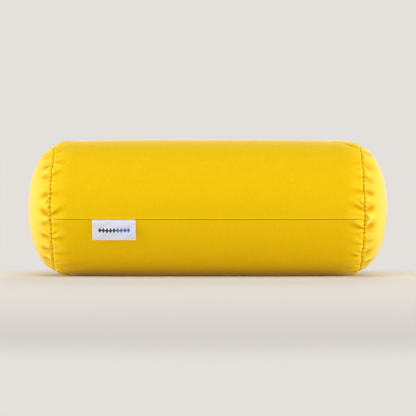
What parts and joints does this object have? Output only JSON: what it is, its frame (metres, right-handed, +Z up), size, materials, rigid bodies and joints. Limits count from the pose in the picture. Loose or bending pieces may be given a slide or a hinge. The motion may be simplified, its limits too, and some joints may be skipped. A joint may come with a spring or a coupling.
{
  "type": "bolster pillow",
  "caption": "Round bolster pillow with domed, gathered ends: a zipped stretch fabric cover over a bead-filled liner, with a small woven label in its lengthwise seam.",
  "frame": {"origin": "under the middle of the pillow, on the surface that it lies on", "axes": "+X along the bolster, away from the label's end; -Y towards the front, with the lengthwise seam and the label; +Z up"},
  "size_m": [0.4, 0.1536, 0.1515],
  "materials": {
    "cover_fabric": "smooth brushed stretch knit, bright yellow, matte with a soft sheen",
    "cover_thread": "spun polyester sewing thread, dyed to match",
    "label_ribbon": "satin-woven ribbon, cool white, blank but for a woven border",
    "zip_tape": "woven polyester tape, dyed to match",
    "zip_coil": "drawn nylon, dyed to match",
    "slider_metal": "die-cast zinc, lacquered",
    "liner_fabric": "fine white stretch knit",
    "liner_thread": "white sewing thread",
    "bead_fill": "loose white foam beads, read as one soft body"
  },
  "bodies": {
    "bolster": {"cover_side_panel": "cover_fabric", "cover_end_panel_left": "cover_fabric", "cover_end_panel_right": "cover_fabric", "cover_end_thread_left": "cover_thread", "cover_end_thread_right": "cover_thread", "cover_seam_thread_left": "cover_thread", "cover_seam_thread_right": "cover_thread", "woven_label_tail": "label_ribbon", "zip_tape_upper": "zip_tape", "zip_tape_lower": "zip_tape", "zip_coil_upper": "zip_coil", "zip_coil_lower": "zip_coil", "zip_bar_tack_left": "cover_thread", "zip_bar_tack_right": "cover_thread", "zip_stitching_upper": "cover_thread", "zip_stitching_lower": "cover_thread", "liner_side_panel": "liner_fabric", "liner_end_panel_left": "liner_fabric", "liner_end_panel_right": "liner_fabric", "liner_end_thread_left": "liner_thread", "liner_end_thread_right": "liner_thread", "liner_seam_thread": "liner_thread", "bead_fill": "bead_fill"},
    "label": {"woven_label": "label_ribbon"},
    "slider": {"zip_slider": "slider_metal"}
  },
  "joints": [
    {"name": "label_flap", "type": "hinge", "parent": "bolster", "child": "label", "pos_m": [-0.1, -0.07645, 0.06259], "axis": [-1, 0, 0], "range_deg": [0, 165]},
    {"name": "zip_slide", "type": "slide", "parent": "bolster", "child": "slider", "axis": [1, 0, 0], "range_m": [0, 0.183], "deforming": ["zip_coil_upper", "zip_coil_lower"]}
  ]
}
